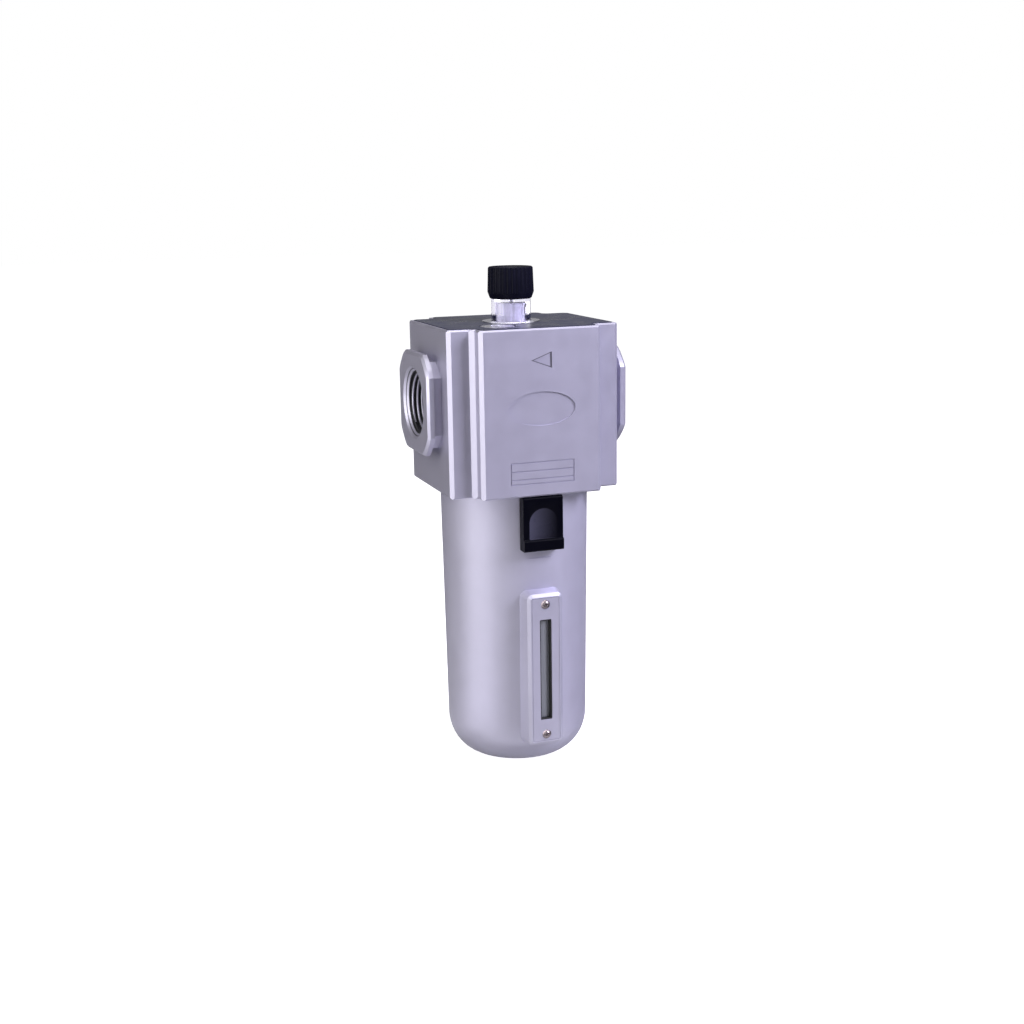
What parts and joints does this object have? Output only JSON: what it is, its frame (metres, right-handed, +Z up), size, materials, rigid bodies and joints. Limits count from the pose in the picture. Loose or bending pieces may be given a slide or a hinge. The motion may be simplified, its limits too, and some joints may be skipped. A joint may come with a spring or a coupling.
{
  "type": "compressed-air lubricator",
  "caption": "Compressed-air line lubricator: threaded ports, sight dome with drip knob, filler plug, and a bayonet metal oil bowl with lock button and level gauge.",
  "frame": {"origin": "centre of the inlet port's thread, at the inner end of its mouth chamfer", "axes": "+X out of the inlet port (the flow arrow points along -X), +Z up along the bowl's axis, -Y towards the front with the lock button and the level gauge"},
  "size_m": [0.1025, 0.0862, 0.2478],
  "materials": {
    "body_cast": "silver painted die casting, satin",
    "bowl_cast": "silver painted drawn and cast bowl, satin",
    "cover_black": "black moulded plastic, semi-gloss",
    "ring_silver": "turned, bright",
    "dome_clear": "clear moulded polycarbonate",
    "core_white": "white moulded plastic",
    "seal_rubber": "black nitrile rubber",
    "flap_rubber": "black moulded elastomer",
    "nozzle_steel": "stainless steel",
    "knob_black": "black moulded plastic, knurled",
    "needle_steel": "turned stainless steel",
    "plug_silver": "turned, plated",
    "tube_clear": "translucent nylon tube",
    "filter_bronze": "sintered bronze",
    "button_black": "black moulded plastic",
    "plate_silver": "silver painted plate",
    "gauge_clear": "smoke-grey clear plastic window",
    "screw_steel": "plated steel"
  },
  "bodies": {
    "housing": {"body": "body_cast", "top_cover": "cover_black", "dome_ring": "ring_silver", "sight_dome": "dome_clear", "dome_seal": "seal_rubber", "drip_core": "core_white", "drip_nozzle": "nozzle_steel", "needle_seal": "seal_rubber", "venturi_post": "core_white", "flap_pin": "nozzle_steel", "siphon_tube": "tube_clear", "siphon_filter": "filter_bronze"},
    "drip_knob": {"knob": "knob_black"},
    "valve_needle": {"needle": "needle_steel"},
    "plug_seal": {"filler_seal": "seal_rubber"},
    "oil_plug": {"filler_plug": "plug_silver"},
    "damper": {"damper_flap": "flap_rubber"},
    "ball": {"check_ball": "nozzle_steel"},
    "oil_bowl": {"bowl": "bowl_cast", "bowl_seal": "seal_rubber", "lock_spring": "nozzle_steel", "gauge_plate": "plate_silver", "gauge_glass": "gauge_clear", "gauge_gasket": "seal_rubber", "upper_gauge_screw": "screw_steel", "lower_gauge_screw": "screw_steel"},
    "button": {"lock_button": "button_black"}
  },
  "joints": [
    {"name": "knob_turn", "type": "hinge", "parent": "housing", "child": "drip_knob", "pos_m": [-0.04875, 0, 0.0555], "axis": [0, 0, 1], "range_deg": [0, 330]},
    {"name": "needle_lift", "type": "slide", "parent": "housing", "child": "valve_needle", "axis": [0, 0, 1], "range_m": [0, 0.00065]},
    {"name": "plug_rise", "type": "slide", "parent": "housing", "child": "plug_seal", "axis": [0, 0, 1], "range_m": [0, 0.00602]},
    {"name": "plug_turn", "type": "hinge", "parent": "plug_seal", "child": "oil_plug", "pos_m": [-0.06415, -0.0238, 0.034], "axis": [0, 0, 1], "range_deg": [0, 1440]},
    {"name": "damper_swing", "type": "hinge", "parent": "housing", "child": "damper", "pos_m": [-0.05795, 0, 0.0082], "axis": [0, 1, 0], "range_deg": [0, 60]},
    {"name": "ball_lift", "type": "slide", "parent": "housing", "child": "ball", "axis": [0, 0, 1], "range_m": [0, 0.0012]},
    {"name": "bowl_turn", "type": "hinge", "parent": "housing", "child": "oil_bowl", "pos_m": [-0.04875, 0, -0.043], "axis": [0, 0, 1], "range_deg": [0, 45]},
    {"name": "lock_slide", "type": "slide", "parent": "oil_bowl", "child": "button", "axis": [0, 0, -1], "range_m": [0, 0.004], "stiffness_N_per_m": 400, "springref_m": -0.004, "deforming": ["lock_spring"]}
  ],
  "couplings": [
    {"joint": "needle_lift", "follows": "knob_turn", "m_per_rad": 0.00011141},
    {"joint": "plug_rise", "follows": "plug_turn", "m_per_rad": 0.00023873}
  ]
}
